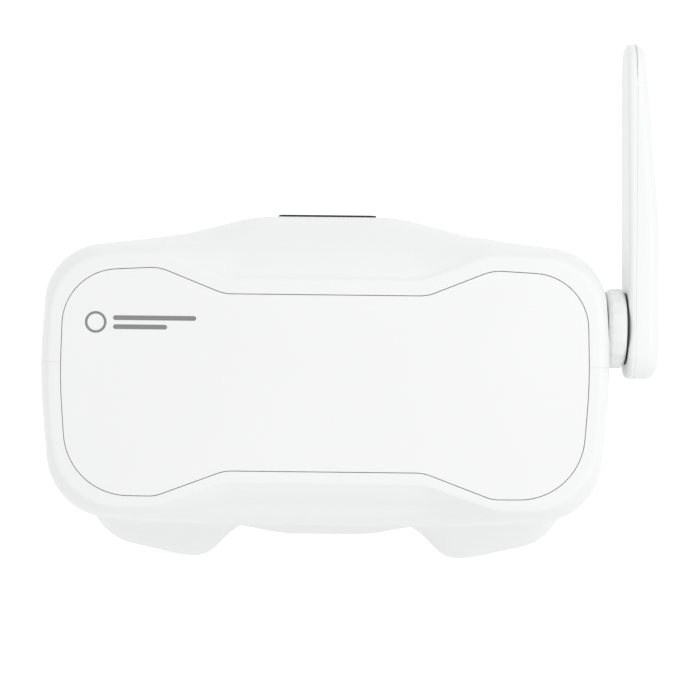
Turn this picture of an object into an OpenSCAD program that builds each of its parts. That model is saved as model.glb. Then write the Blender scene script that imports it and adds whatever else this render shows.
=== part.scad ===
// Box-type FPV goggles: a white two-part housing with a waisted front panel, a rear frame that
// follows the face, one large lens, and a folding paddle antenna on the wearer's left side.
// Frame: the origin is the middle of the front panel's outer face, +Z is up, +Y runs from the
// front panel towards the face, and +X is the antenna side. All sizes are millimetres.

/* [Housing] */
// Wall thickness of the moulded shells
wall = 2.2; // [1.8:0.1:2.4]
// Gap between the front panel and the rim around it
panel_gap = 0.25; // [0.2:0.05:0.5]
// Thickness of the front panel
panel_t = 2.2; // [1.8:0.1:2.2]
// Depth at which the housing reaches its full outline
full_y = 20; // [18:1:22]
// Depth of the housing's rear edge
housing_y = 42; // [41:0.5:43]
// Height of the seam between the two housings
seam_z = 5.4; // [5:0.1:5.5]

/* [Face] */
// Depth of the face frame's rear edge at the nose
brow_y = 78; // [76:1:80]
// How much further back the rear edge lies at the temples
temple_wrap = 12; // [8:1:12]
// Thickness of the face foam
foam_t = 14; // [10:1:16]

/* [Optics] */
// Width of the display module
lcd_w = 105.5; // [100:0.5:106]
// Height of the display module
lcd_h = 67.2; // [60:0.2:67.4]
// Depth of the lens plate's front face
plate_y = 60; // [59:0.5:61]
// Width of the lens
lens_w = 118; // [110:1:120]
// Height of the lens
lens_h = 62; // [56:1:62]

/* [Antenna] */
// Depth of the antenna's pivot
pivot_y = 24; // [24:0.5:25]
// Height of the antenna's pivot
pivot_z = 16.5; // [16:0.1:17]
// Radius of the ribbed collar
collar_r = 11.7; // [11.4:0.1:11.9]
// Height of the antenna's tip when it stands upright
tip_z = 98.5; // [80:0.1:100]
// Width of the antenna's paddle at its base
paddle_w = 20; // [18:0.5:22]
// How far the paddle reaches below the pivot
paddle_drop = 14.5; // [13:0.5:15]
// Play between the collar's bore and the bushing
pivot_play = 0.05; // [0.02:0.01:0.09]

/* [Controls] */
// Width of the control strip on the crown
strip_w = 28.2; // [28:0.1:30]
// Spacing of the five buttons
button_pitch = 5.2; // [5:0.1:5.4]
// Travel of each button
button_travel = 0.5; // [0.3:0.1:0.5]

/* [Hidden] */
$fn = 48;

// An outline is nine rows of [x, z, corner radius] for the half with x > 0: the top middle,
// the waist's end, the bump, the upper corner, the side, the lower corner, the lower bump,
// the lower waist's end and the bottom middle.
PANEL = [[0, 24.6, 0], [28.2, 24.6, 12], [46.3, 31.8, 12], [72.5, 30.4, 15.5], [73.3, 0.5, 150],
    [70.9, -31.3, 18], [46.8, -31.5, 10], [27.6, -24.3, 12], [0, -24.3, 0]];
BEZEL = [[0, 29.9, 0], [26.9, 29.9, 14], [45, 36.9, 12], [76.2, 35.6, 17.5], [78, 1, 150],
    [74.7, -35.1, 19], [47.5, -35.3, 10], [27.8, -28.5, 14], [0, -28.5, 0]];
SHOULDER = [[0, 39.6, 0], [22.5, 39.6, 25], [44, 39.8, 25], [77.9, 37.1, 16.5], [80.3, 3, 150],
    [76.6, -36.9, 18], [49, -38.2, 25], [29, -34, 25], [0, -33.8, 0]];
BODY = [[0, 47.5, 0], [20, 47.5, 45], [42, 42, 60], [78.5, 37.6, 16.5], [80.7, 3, 150],
    [77.4, -38.2, 18], [50, -40.2, 80], [30, -41, 80], [0, -41, 0]];
FRAME_MID = [[0, 46, 0], [28, 46, 60], [50, 43.4, 40], [76.5, 36, 24], [78.6, 3, 150],
    [74.5, -40.8, 18], [31, -42.6, 30], [12.5, -46.3, 40], [0, -46.3, 0]];
FRAME_REAR = [[0, 43.2, 0], [28, 43.4, 60], [50, 41.6, 40], [74.5, 33, 26], [77, 2, 100],
    [74.5, -50, 17], [38.5, -56.9, 11], [10.5, -27.5, 10], [0, -27.5, 0]];
EYE = [[0, 33, 0], [28, 33.4, 50], [47, 32, 30], [65, 23, 18], [66.5, 0, 70],
    [61, -36, 9], [40, -42, 5], [11, -16, 8], [0, -16, 0]];

// Steps along each of the seven corner arcs, and extra points on each of the eight straights
ARC_STEPS = [3, 3, 5, 2, 5, 3, 3];
STRAIGHT_POINTS = [2, 0, 1, 1, 1, 1, 0, 2];

// Depths of the layers between the front panel and the lens
battery_y = 5.2;
board_y = 12;
board_t = 1.2;
board_rear = board_y + board_t;
board_screw = [50, 24];
backlight_y = 17.2;
display_y = 19.4;
bracket_y = 20.9;
shroud_y = 23.5;
plate_t = 2.4;
lens_y = plate_y + plate_t + 0.1;
rim_t = 2.2;
lens_dome_r = 330;

// Depth where the face frame's rings stop being flat
flat_y = 66;
flat_mix = 0.3;
flange_t = 2.2;
lip_y = 39.5;
lip_t = 1.6;

// Screws: pilot holes are a little wider than the shafts, which stand for the thread's middle
screw_r = 1;
pilot_r = 1.03;
FRAME_SCREWS = [[50, 37.4], [-50, 37.4], [50, -36.6], [-50, -36.6]];
seam_screw_x = 73.5;
seam_screw_y = 15;

// Antenna stack along X
collar_x = 80.3;
collar_end = 85.45;
paddle_x = 86.05;
parting_x = 88;
paddle_end = 94.8;
tip_end = 91;
tip_lean = 0.9;
tip_r = 8;
base_corner_r = 8;
bend_z = 48;
bushing_r = 5;
bushing_bore_r = 2;
bushing_x = 74.5;
bushing_end = paddle_x + 2.8;
boss_x = 76.5;
boss_r = 13.5;
clip_x = bushing_end - 1.3;
seat_x = 80;

// Control strip and buttons on the crown
crown_z = BODY[0][1];
strip_y0 = 23;
strip_y1 = 36;
strip_top = crown_z + 0.8;
strip_floor = crown_z - 0.8;
button_y = (strip_y0 + strip_y1) / 2;
button_top = strip_top + 0.15;
BUTTON_X = [for (i = [-2:2]) i * button_pitch];
button_size = [4, 7.6];
button_play = 0.15;
flange_top = crown_z - wall - 0.25;
switch_top = flange_top - 2.0 - button_travel - 0.1;
button_board_z = 39.8;
button_post_x = 15;

// Ports on the side without the antenna
port_y = 26.7;
port_wall_x = -81;
jack_z = -17;
jack_bore_r = 1.8;
jack_length = 14;
usb_z = -5;
card_z = 14;
card_y = 28;
light_z = 22.6;
port_screw_x = -73;
PORT_SCREW_Z = [-24, 27];

// Loops for the straps, each held by two rivets
loop_t = 2.5;
loop_slot = [30, 5.5];
loop_z = 2;
loop_x = 79;
loop_y = 80;
top_loop_y = brow_y - 10;
top_loop_z = 45.6;
rivet_r = 2;
rivet_y = loop_y + 3.5;
RIVET_Z = [loop_z - 10, loop_z + 10];
top_rivet_y = top_loop_y + 4;

white = [0.93, 0.93, 0.94];
black = [0.08, 0.08, 0.09];

// ---------------------------------------------------------------- outlines and lofts

function unit(v) = v / norm(v);
function mix(a, b, t) = a + (b - a) * t;
function smooth(t) = t * t * (3 - 2 * t);

// Points of a corner's arc, from the side of a to the side of c
function corner(a, b, c, r, n) = let(
    u = unit(a - b),
    w = unit(c - b),
    half = acos(u * w) / 2,
    centre = b + unit(u + w) * r / sin(half),
    from = b + u * r / tan(half) - centre,
    to = b + w * r / tan(half) - centre,
    start = atan2(from.y, from.x),
    turn = atan2(from.x * to.y - from.y * to.x, from * to))
    [for (i = [0:n]) centre + r * [cos(start + turn * i / n), sin(start + turn * i / n)]];

// Evenly spaced points strictly between a and b
function between(a, b, n) = [for (i = [1:1:n]) mix(a, b, i / (n + 1))];

function half_outline(o) = let(
    p = [for (row = o) [row[0], row[1]]],
    arcs = [for (k = [1:7]) corner(p[k - 1], p[k], p[k + 1], o[k][2], ARC_STEPS[k - 1])],
    from = [p[0], for (arc = arcs) arc[len(arc) - 1]],
    to = [for (arc = arcs) arc[0], p[8]])
    [p[0], for (k = [0:7]) each concat(between(from[k], to[k], STRAIGHT_POINTS[k]),
        k < 7 ? arcs[k] : [p[8]])];

// The whole outline, clockwise from the top middle as seen from the front
function outline(o) = let(h = half_outline(o), n = len(h))
    concat(h, [for (i = [n - 2:-1:1]) [-h[i].x, h[i].y]]);

// The same outline moved inwards by d
function inset(ring, d) = let(n = len(ring))
    [for (i = [0:n - 1]) let(t = ring[(i + 1) % n] - ring[(i + n - 1) % n])
        ring[i] + d * unit([t.y, -t.x])];

function at(y, ring) = [for (p = ring) [p.x, y, p.y]];

// A closed skin through rings that wrap round from the last to the first
module loft(rings) {
    n = len(rings[0]);
    m = len(rings);
    polyhedron(
        points = [for (ring = rings) each ring],
        faces = [for (j = [0:m - 1], i = [0:n - 1]) let(
            a = j * n + i,
            b = j * n + (i + 1) % n,
            c = (j + 1) % m * n + (i + 1) % n,
            d = (j + 1) % m * n + i) each [[a, c, b], [a, d, c]]]);
}

// An upright shape of x and z, extruded from depth y0 to y1
module slab(y0, y1) {
    translate([0, y1, 0]) rotate([90, 0, 0]) linear_extrude(y1 - y0) children();
}

// A round bar along Y
module bar_y(x, z, r, y0, y1) {
    translate([x, y1, z]) rotate([90, 0, 0]) cylinder(r = r, h = y1 - y0);
}

// A round bar along X at the antenna's pivot
module bar_x(r, x0, x1) {
    translate([x0, pivot_y, pivot_z]) rotate([0, 90, 0]) cylinder(r = r, h = x1 - x0);
}

// A rectangle with round corners, centred on the origin
module round_rect(size, r) {
    union() {
        square([size.x - 2 * r, size.y], center = true);
        square([size.x, size.y - 2 * r], center = true);
        for (sx = [-1, 1], sy = [-1, 1])
            translate([sx * (size.x / 2 - r), sy * (size.y / 2 - r)]) circle(r);
    }
}

module box(from, to) {
    translate(from) cube(to - from);
}

// A round wire through the points of a route
module wire(route, r, sides = 8) {
    n = len(route);
    function along(i) = unit(route[min(i + 1, n - 1)] - route[max(i - 1, 0)]);
    rings = [for (i = [0:n - 1]) let(
        t = along(i),
        u = unit(cross(t, [0.1, 0.2, 1])),
        v = cross(t, u))
        [for (a = [0:360 / sides:359]) route[i] + r * (u * cos(a) + v * sin(a))]];
    polyhedron(
        points = [for (ring = rings) each ring],
        faces = concat(
            [[for (k = [0:sides - 1]) k]],
            [for (j = [0:n - 2], k = [0:sides - 1]) let(
                a = j * sides + k,
                b = j * sides + (k + 1) % sides) each [[a, b + sides, b], [a, a + sides, b + sides]]],
            [[for (k = [sides - 1:-1:0]) (n - 1) * sides + k]]));
}

// A screw along Y: its head, with a cross recess, lies behind the shaft
module screw_y(x, z, head_y, length, head_r = 1.9, head_t = 1.3) {
    difference() {
        union() {
            bar_y(x, z, screw_r, head_y - length, head_y);
            bar_y(x, z, head_r, head_y, head_y + head_t);
        }
        for (a = [0, 90])
            translate([x, head_y + head_t, z]) rotate([0, a, 0]) cube([2.2, 1.2, 0.5], center = true);
    }
}

// ---------------------------------------------------------------- housing

function housing_rings() = let(
    opening = inset(outline(PANEL), -panel_gap),
    ledge = inset(outline(PANEL), 3),
    bezel = outline(BEZEL),
    shoulder = outline(SHOULDER),
    body = outline(BODY))
    [at(0, opening), at(0, inset(bezel, 1.5)), at(0.5, inset(bezel, 0.4)), at(1.6, bezel),
        at(4, outline(mix(BEZEL, SHOULDER, 0.55))), at(8, shoulder),
        at(13, outline(mix(SHOULDER, BODY, 0.6))), at(full_y, body), at(31, body),
        at(housing_y - 1, inset(body, 0.3)), at(housing_y, inset(body, 1)),
        at(housing_y, inset(body, wall)), at(31, inset(body, wall)), at(full_y, inset(body, wall)),
        at(14, inset(outline(mix(SHOULDER, BODY, 0.6)), wall)),
        at(9.6, inset(shoulder, wall - 0.2)), at(5.4, inset(bezel, wall - 0.4)),
        at(4.4, ledge), at(panel_t + 0.1, ledge), at(panel_t + 0.1, opening)];

// Screw posts for the face frame, which run forwards from the housing's rear edge
module frame_posts() {
    for (p = FRAME_SCREWS) bar_y(p.x, p.y, 2.7, 24, housing_y - 0.2);
}

module frame_pilots() {
    for (p = FRAME_SCREWS) bar_y(p.x, p.y, pilot_r, 34, housing_y);
}

// The housing as one shell, before the seam divides it
module whole_housing() {
    loft(housing_rings());
}

// Bracket on the side wall for one corner of the port board
module port_bracket(z) {
    box([-79.8, port_y - 6, z - 2.8], [-70.5, port_y - board_t - 0.05, z + 2.8]);
}

// Everything that leaves the housing through its side walls
module housing_cuts() {
    bar_x(collar_r + 0.6, seat_x, 90);
    bar_x(bushing_r + 0.05, 70, 90);
    translate([-84, port_y + 3.2, jack_z]) rotate([0, 90, 0]) cylinder(r = 3.1, h = 8);
    translate([-84, port_y + 1.7, usb_z]) rotate([0, 90, 0]) linear_extrude(8)
        round_rect([9.4, 3.6], 1.7);
    box([-84, card_y - 0.7, card_z - 5.8], [-76, card_y + 0.7, card_z + 5.8]);
    translate([-85.2, card_y, card_z]) rotate([90, 0, 0]) cylinder(r = 6, h = 9, center = true);
    translate([-84, card_y, light_z]) rotate([0, 90, 0]) cylinder(r = 1.1, h = 8);
}

module upper_housing() {
    color(white) difference() {
        union() {
            intersection() {
                whole_housing();
                box([-90, -1, seam_z + 0.05], [90, 50, 60]);
            }
            intersection() {
                bar_x(boss_r, boss_x, seat_x + 0.2);
                box([70, 8, seam_z + 0.05], [90, 41, 60]);
            }
            intersection() {
                frame_posts();
                box([-60, 0, 0], [60, 50, 60]);
            }
            for (s = [-1, 1]) {
                translate([s * seam_screw_x, seam_screw_y, seam_z + 0.05]) cylinder(r = 3, h = 8);
                translate([s * 77, seam_screw_y, seam_z + 4.025]) cube([5, 2, 7.95], center = true);
                translate([s * button_post_x, button_y, button_board_z + 1.05]) cylinder(r = 1.7, h = 5);
            }
            port_bracket(PORT_SCREW_Z[1]);
        }
        housing_cuts();
        frame_pilots();
        for (s = [-1, 1]) {
            translate([s * seam_screw_x, seam_screw_y, seam_z - 1]) cylinder(r = pilot_r, h = 7);
            translate([s * button_post_x, button_y, button_board_z + 1]) cylinder(r = pilot_r, h = 4.6);
        }
        box([-strip_w / 2 - 0.1, strip_y0 - 0.1, strip_floor], [strip_w / 2 + 0.1, strip_y1 + 0.1, 60]);
        for (x = BUTTON_X) button_hole(x, 39);
        bar_y(port_screw_x, PORT_SCREW_Z[1], pilot_r, port_y - 5.5, port_y);
    }
}

module lower_housing() {
    color(white) difference() {
        union() {
            intersection() {
                whole_housing();
                box([-90, -1, -60], [90, 50, seam_z - 0.05]);
            }
            intersection() {
                bar_x(boss_r, boss_x, seat_x + 0.2);
                box([70, 8, -20], [90, 41, seam_z - 0.05]);
            }
            intersection() {
                frame_posts();
                box([-60, 0, -60], [60, 50, 0]);
            }
            for (s = [-1, 1]) {
                translate([s * seam_screw_x, seam_screw_y, seam_z - 6]) cylinder(r = 3, h = 5.95);
                translate([s * 77, seam_screw_y, seam_z - 3.025]) cube([5, 2, 5.95], center = true);
            }
            port_bracket(PORT_SCREW_Z[0]);
        }
        housing_cuts();
        frame_pilots();
        for (s = [-1, 1])
            translate([s * seam_screw_x, seam_screw_y, seam_z - 7]) cylinder(r = pilot_r, h = 9);
        bar_y(port_screw_x, PORT_SCREW_Z[0], pilot_r, port_y - 5.5, port_y);
    }
}

// Flat panel in the front of the housing: ribs locate it and four posts carry the main board
module front_panel() {
    color(white) difference() {
        union() {
            slab(0, panel_t) polygon(outline(PANEL));
            for (s = [-1, 1], t = [-1, 1]) {
                box([s * 60 - 3, panel_t - 0.1, t * 19 - 1], [s * 60 + 3, 4.4, t * 19 + 1]);
                bar_y(s * board_screw.x, t * board_screw.y, 2.6, panel_t - 0.1, board_y - 0.02);
            }
        }
        for (s = [-1, 1], t = [-1, 1])
            bar_y(s * board_screw.x, t * board_screw.y, pilot_r, board_y - 6, board_y + 1);
    }
}

module seam_screws() {
    color("silver") for (s = [-1, 1])
        translate([s * seam_screw_x, seam_screw_y, seam_z - 6]) union() {
            cylinder(r = screw_r, h = 10.5);
            translate([0, 0, -1.3]) cylinder(r = 1.9, h = 1.3);
        }
}

// ---------------------------------------------------------------- face frame and foam

// Depth of the frame's rear edge, which wraps round the face
function rear_y(x) = brow_y + temple_wrap * pow(abs(x) / 77, 2);

// Flat ring of the frame at depth y, up to flat_y
function frame_outline(y) = y < 54
    ? outline(mix(BODY, FRAME_MID, smooth((y - housing_y) / (54 - housing_y))))
    : outline(mix(FRAME_MID, FRAME_REAR, flat_mix * pow((y - 54) / (flat_y - 54), 1.5)));

// Ring between the last flat one (t = 0) and the rear edge (t = 1), moved forwards by lead
function frame_rear(t, d, lead) = let(
    o = inset(outline(mix(FRAME_MID, FRAME_REAR, mix(flat_mix, 1, sin(90 * t)))), d))
    [for (p = o) [p.x, mix(flat_y, rear_y(p.x) - lead, t), p.y]];

// An outline that lies on the rear edge's surface
function on_rear(ring, dy) = [for (p = ring) [p.x, rear_y(p.x) + dy, p.y]];

module face_frame() {
    frame_y = housing_y + 0.2;
    color(white) difference() {
        union() {
            loft([at(lip_y, inset(outline(BODY), 3)), at(frame_y, inset(outline(BODY), 3)),
                at(frame_y, inset(outline(BODY), 1.2)), at(frame_y + 1, inset(frame_outline(frame_y), 0.5)),
                at(48, frame_outline(48)), at(54, frame_outline(54)), at(60, frame_outline(60)),
                at(flat_y, frame_outline(flat_y)), frame_rear(0.35, 0, 0), frame_rear(0.7, 0, 0),
                frame_rear(0.92, 0, 0), frame_rear(1, 0.8, 0),
                on_rear(outline(EYE), 0), on_rear(outline(EYE), -flange_t),
                frame_rear(1, wall + 0.6, flange_t), frame_rear(0.7, wall, flange_t),
                frame_rear(0.35, wall, flange_t), at(flat_y, inset(frame_outline(flat_y), wall)),
                at(60, inset(frame_outline(60), wall)), at(54, inset(frame_outline(54), wall)),
                at(48, inset(frame_outline(48), wall)), at(frame_y + 2, inset(outline(BODY), 3 + lip_t)),
                at(lip_y, inset(outline(BODY), 3 + lip_t))]);
            for (p = FRAME_SCREWS)
                box([p.x - 4.5, frame_y, p.y - 2.6], [p.x + 4.5, frame_y + 2, p.y + 2.6]);
        }
        for (z = RIVET_Z) translate([-90, rivet_y, z]) rotate([0, 90, 0])
            cylinder(r = rivet_r + 0.05, h = 180);
        for (s = [-1, 1]) translate([s * 13, top_rivet_y, 40]) cylinder(r = rivet_r + 0.05, h = 10);
        for (p = FRAME_SCREWS) {
            bar_y(p.x, p.y, 3, lip_y - 1, housing_y + 0.1);
            bar_y(p.x, p.y, screw_r + 0.15, housing_y, frame_y + 3);
            bar_y(p.x, p.y, 2.3, frame_y + 2, frame_y + 5);
        }
    }
}

// Soft ring that fastens the foam to the frame's flange
module foam_fastener() {
    outer = inset(outline(FRAME_REAR), 2.6);
    inner = inset(outline(EYE), -0.8);
    color(black) loft([on_rear(outer, 0.05), on_rear(outer, 1), on_rear(inner, 1), on_rear(inner, 0.05)]);
}

// Cushion against the face: its section is crowned and its edges are round
module face_foam() {
    outer = outline(FRAME_REAR);
    inner = outline(EYE);
    color(black) loft([on_rear(inset(outer, 2.4), 1.05), on_rear(inset(outer, 1.2), 4),
        on_rear(inset(outer, 1.4), foam_t * 0.65), on_rear(inset(outer, 3.2), foam_t * 0.92),
        on_rear([for (i = [0:len(outer) - 1]) mix(outer[i], inner[i], 0.5)], foam_t),
        on_rear(inset(inner, -1.8), foam_t * 0.92), on_rear(inset(inner, -0.3), foam_t * 0.65),
        on_rear(inset(inner, -0.6), 1.05)]);
}

module frame_screws() {
    color("silver") for (p = FRAME_SCREWS) screw_y(p.x, p.y, housing_y + 2.2, 9);
}

// Closed loop of flat bar that a strap runs through: a pad, two arms and a rear bar
module strap_loop_flat() {
    difference() {
        linear_extrude(loop_t) translate([0, 9, 0]) round_rect([loop_slot.x + 8, 18], 2.5);
        translate([0, 8.5 + loop_slot.y / 2, -1]) linear_extrude(loop_t + 2)
            square(loop_slot, center = true);
    }
}

module strap_loop_right() {
    color(black) union() {
        translate([loop_x, loop_y, loop_z]) rotate([90, 0, 90]) rotate([0, 0, 90]) mirror([0, 1, 0])
            strap_loop_flat();
        for (z = RIVET_Z) translate([74, rivet_y, z]) rotate([0, 90, 0]) cylinder(r = rivet_r, h = 6);
    }
}

module strap_loop_left() {
    color(black) mirror([1, 0, 0]) strap_loop_right();
}

module strap_loop_top() {
    color(black) union() {
        translate([0, top_loop_y, top_loop_z]) strap_loop_flat();
        for (s = [-1, 1]) translate([s * 13, top_rivet_y, 42.4]) cylinder(r = rivet_r, h = 4);
    }
}

// ---------------------------------------------------------------- optics

// Places of the four screws above and below the lens
module lens_screw_places() {
    for (sx = [-1, 1], sz = [-1, 1])
        translate([sx * (lens_w / 2 - 14), 0, sz * (lens_h / 2 + 1.8)]) children();
}

module lens_plate() {
    color(black) difference() {
        slab(plate_y, plate_y + plate_t) polygon(inset(frame_outline(plate_y + plate_t), wall + 0.9));
        slab(plate_y - 1, plate_y + plate_t + 1) round_rect([lens_w - 6, lens_h - 6], 10);
        lens_screw_places() bar_y(0, 0, pilot_r, plate_y - 1, plate_y + plate_t + 1);
    }
}

module lens() {
    color([0.8, 0.9, 1, 0.4]) union() {
        slab(lens_y, lens_y + rim_t) round_rect([lens_w, lens_h], 12);
        intersection() {
            slab(lens_y + 1, lens_y + 12) round_rect([lens_w - 8, lens_h - 8], 9);
            translate([0, lens_y + 7.5 - lens_dome_r, 0]) sphere(lens_dome_r, $fn = 200);
        }
    }
}

// Frame over the lens rim, held to the lens plate by four screws
module lens_retainer() {
    color(black) difference() {
        slab(lens_y, lens_y + rim_t + 1.8) round_rect([lens_w + 6, lens_h + 9], 15);
        slab(lens_y - 1, lens_y + rim_t + 0.05) round_rect([lens_w + 0.4, lens_h + 0.4], 12);
        slab(lens_y, lens_y + 6) round_rect([lens_w - 7, lens_h - 7], 9);
        lens_screw_places() bar_y(0, 0, screw_r + 0.1, lens_y - 1, lens_y + 6);
    }
}

module lens_screws() {
    color("silver") lens_screw_places() screw_y(0, 0, lens_y + rim_t + 1.8, 5.8, 1.7, 0.9);
}

// Tapered box between the display and the lens plate
module funnel(front, rear, y0, y1) {
    hull() {
        slab(y0, y0 + 0.01) square(front, center = true);
        slab(y1 - 0.01, y1) square(rear, center = true);
    }
}

module optic_shroud() {
    color(black) difference() {
        funnel([101, 60], [lens_w - 1, lens_h - 1], shroud_y, plate_y - 0.05);
        funnel([98, 57], [lens_w - 4, lens_h - 4], shroud_y - 0.02, plate_y);
    }
}

module display_bracket() {
    color(black) difference() {
        slab(bracket_y, shroud_y - 0.05) square([lcd_w + 5, 70.8], center = true);
        slab(bracket_y - 1, shroud_y + 1) square([96, 55], center = true);
    }
}

module display_panel() {
    color([0.1, 0.12, 0.16]) slab(display_y, bracket_y - 0.05) square([lcd_w, lcd_h], center = true);
}

module backlight() {
    color("silver") slab(backlight_y, display_y - 0.05) square([lcd_w - 1, lcd_h - 1], center = true);
}

// Flat cable from the display's lower edge down, forwards and up to the main board
module display_ribbon() {
    color([0.75, 0.45, 0.15]) union() {
        box([-10, backlight_y - 0.35, -27], [10, backlight_y - 0.05, -20]);
        box([-10, board_rear, -20.3], [10, backlight_y - 0.05, -20]);
    }
}

// ---------------------------------------------------------------- electronics

module main_board() {
    color([0.05, 0.3, 0.2]) difference() {
        slab(board_y, board_rear) square([108, 56], center = true);
        for (s = [-1, 1], t = [-1, 1])
            bar_y(s * board_screw.x, t * board_screw.y, 1.2, board_y - 1, board_rear + 1);
    }
}

// Fasteners of the main board, the port board and the button board
module board_screws() {
    color("silver") {
        for (s = [-1, 1], t = [-1, 1]) screw_y(s * board_screw.x, t * board_screw.y, board_rear, 5);
        for (z = PORT_SCREW_Z) screw_y(port_screw_x, z, port_y, 5);
        for (s = [-1, 1]) translate([s * button_post_x, button_y, button_board_z]) union() {
            cylinder(r = screw_r, h = 4.5);
            translate([0, 0, -1.3]) cylinder(r = 1.9, h = 1.3);
        }
    }
}

module receiver_module() {
    color("silver") difference() {
        box([20, board_rear, 4], [44, board_rear + 3, 24]);
        for (i = [0:5]) bar_y(24 + 3.2 * i, 9, 0.6, board_rear + 2.5, board_rear + 4);
    }
}

module video_chips() {
    color(black) union() {
        box([-18, board_rear, -6], [-4, board_rear + 1.2, 8]);
        box([2, board_rear, -14], [12, board_rear + 1.1, -4]);
        box([-38, board_rear, 6], [-30, board_rear + 1, 12]);
        for (i = [0:7]) box([-40 + 3 * i, board_rear, -12], [-38.6 + 3 * i, board_rear + 0.8, -9.6]);
    }
}

module beeper() {
    color(black) difference() {
        bar_y(-28, 18, 4.5, board_rear, board_rear + 3);
        bar_y(-28, 18, 0.8, board_rear + 2, board_rear + 4);
    }
}

module battery_pack() {
    color("silver") slab(battery_y, battery_y + 5.3) round_rect([84, 44], 1.5);
}

// Shallow tray behind the battery, with a low rim
module battery_tray() {
    color(black) difference() {
        slab(battery_y + 3, board_y - 0.3) square([88, 48], center = true);
        slab(battery_y + 2, battery_y + 5.4) square([84.6, 44.6], center = true);
        box([-46, battery_y + 2, 6], [-41, battery_y + 5.4, 14]);
    }
}

module battery_pad() {
    color([0.2, 0.2, 0.22]) slab(panel_t + 0.05, battery_y - 0.05) square([70, 36], center = true);
}

module battery_plug() {
    color(white) box([-53, 6.5, 13.5], [-46, board_y, 19.5]);
}

module battery_lead() {
    color([0.7, 0.1, 0.1]) for (s = [0, 1]) wire([[-42.2, 8.2, 9 + 2 * s], [-44.4, 8.2, 9 + 2 * s],
        [-47.4, 8.2, 9 + 1.6 * s], [-50 + 1.6 * s, 8.2, 10.4 + 0.8 * s], [-51 + 2.4 * s, 8.2, 13.4]], 0.65);
}

module button_board() {
    color([0.05, 0.3, 0.2]) difference() {
        box([-button_post_x - 2.8, 23, button_board_z], [button_post_x + 2.8, 36, button_board_z + 1]);
        for (s = [-1, 1]) translate([s * button_post_x, button_y, button_board_z - 1]) cylinder(r = 1.2, h = 3);
    }
}

module button_switches() {
    color("silver") for (x = BUTTON_X)
        box([x - 1.6, button_y - 2.2, button_board_z + 1], [x + 1.6, button_y + 2.2, switch_top]);
}

module button_ribbon() {
    color([0.75, 0.45, 0.15]) union() {
        box([-5, 15, button_board_z - 0.35], [5, 30, button_board_z - 0.05]);
        box([-5, 14.7, 22], [5, 15, button_board_z - 0.05]);
        box([-5, board_rear, 21.7], [5, 15, 22]);
    }
}

// ---------------------------------------------------------------- controls

// Rounded hole for one button, down to depth z
module button_hole(x, z) {
    translate([x, button_y, z]) linear_extrude(60 - z)
        round_rect(button_size + 2 * [button_play, button_play], 1.2 + button_play);
}

module control_strip() {
    color(black) difference() {
        translate([0, button_y, strip_floor]) union() {
            height = strip_top - strip_floor;
            depth = strip_y1 - strip_y0;
            linear_extrude(height - 0.25) round_rect([strip_w, depth], 1.5);
            linear_extrude(height) round_rect([strip_w - 0.6, depth - 0.6], 1.3);
        }
        for (x = BUTTON_X) button_hole(x, 40);
    }
}

// Push button: a cap through the strip, a stop flange under the crown and a short plunger
module button(i) {
    translate([BUTTON_X[i], button_y, 0]) union() {
        translate([0, 0, flange_top - 0.5]) linear_extrude(button_top - flange_top + 0.5)
            round_rect(button_size, 1.2);
        translate([0, 0, flange_top - 0.8]) linear_extrude(0.8) round_rect([4.7, 8.8], 1.2);
        translate([0, 0, flange_top - 2]) cylinder(r = 1.2, h = 2);
    }
}

module power_button() { color("firebrick") button(0); }
module menu_button() { color("dimgray") button(1); }
module channel_up_button() { color("dimgray") button(2); }
module channel_down_button() { color("dimgray") button(3); }
module record_button() { color("dimgray") button(4); }

// ---------------------------------------------------------------- ports

module port_board() {
    color([0.05, 0.3, 0.2]) difference() {
        box([-75.6, port_y - board_t, -27.5], [-57, port_y, 30]);
        for (z = PORT_SCREW_Z) bar_y(port_screw_x, z, 1.2, 20, 30);
    }
}

module av_jack() {
    color(black) difference() {
        union() {
            box([-76.5, port_y, jack_z - 3.5], [-66, port_y + 6.4, jack_z + 3.5]);
            translate([port_wall_x, port_y + 3.2, jack_z]) rotate([0, 90, 0]) cylinder(r = 2.9, h = 4);
        }
        translate([port_wall_x - 1, port_y + 3.2, jack_z]) rotate([0, 90, 0])
            cylinder(r = jack_bore_r, h = jack_length + 1);
    }
}

module charge_port() {
    color("silver") translate([-80.6, port_y + 1.7, usb_z]) rotate([0, 90, 0]) union() {
        difference() {
            linear_extrude(7.4) round_rect([9, 3.2], 1.55);
            translate([0, 0, -1]) linear_extrude(7.2) round_rect([8.4, 2.6], 1.25);
        }
        translate([-3.3, -0.35, 0.6]) cube([6.6, 0.7, 6.2]);
    }
}

module card_slot() {
    color("silver") difference() {
        box([-77.2, port_y + 0.05, card_z - 7.2], [-63, card_y + 1, card_z + 7.2]);
        box([-79, card_y - 0.55, card_z - 5.7], [-64, card_y + 0.55, card_z + 5.7]);
    }
}

module memory_card() {
    color(black) difference() {
        box([-80, card_y - 0.4, card_z - 5.5], [-65, card_y + 0.4, card_z + 5.5]);
        box([-66.5, card_y - 1, card_z + 3.9], [-64, card_y + 1, card_z + 6]);
    }
}

module status_light() {
    color([0.9, 0.95, 1, 0.6]) union() {
        translate([port_wall_x + 0.2, card_y, light_z]) rotate([0, 90, 0]) cylinder(r = 1, h = 4);
        translate([-77.1, card_y, light_z]) rotate([0, 90, 0]) cylinder(r = 1.3, h = 1.1);
    }
}

// ---------------------------------------------------------------- antenna

// Hollow bushing that the collar turns on, with a flange inside the housing
module antenna_bushing() {
    color("silver") difference() {
        union() {
            bar_x(bushing_r, bushing_x, bushing_end);
            bar_x(6.4, bushing_x, boss_x - 0.05);
        }
        bar_x(bushing_bore_r, 70, 95);
        difference() {
            bar_x(7, clip_x, clip_x + 0.7);
            bar_x(4.2, 80, 95);
        }
    }
}

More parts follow.
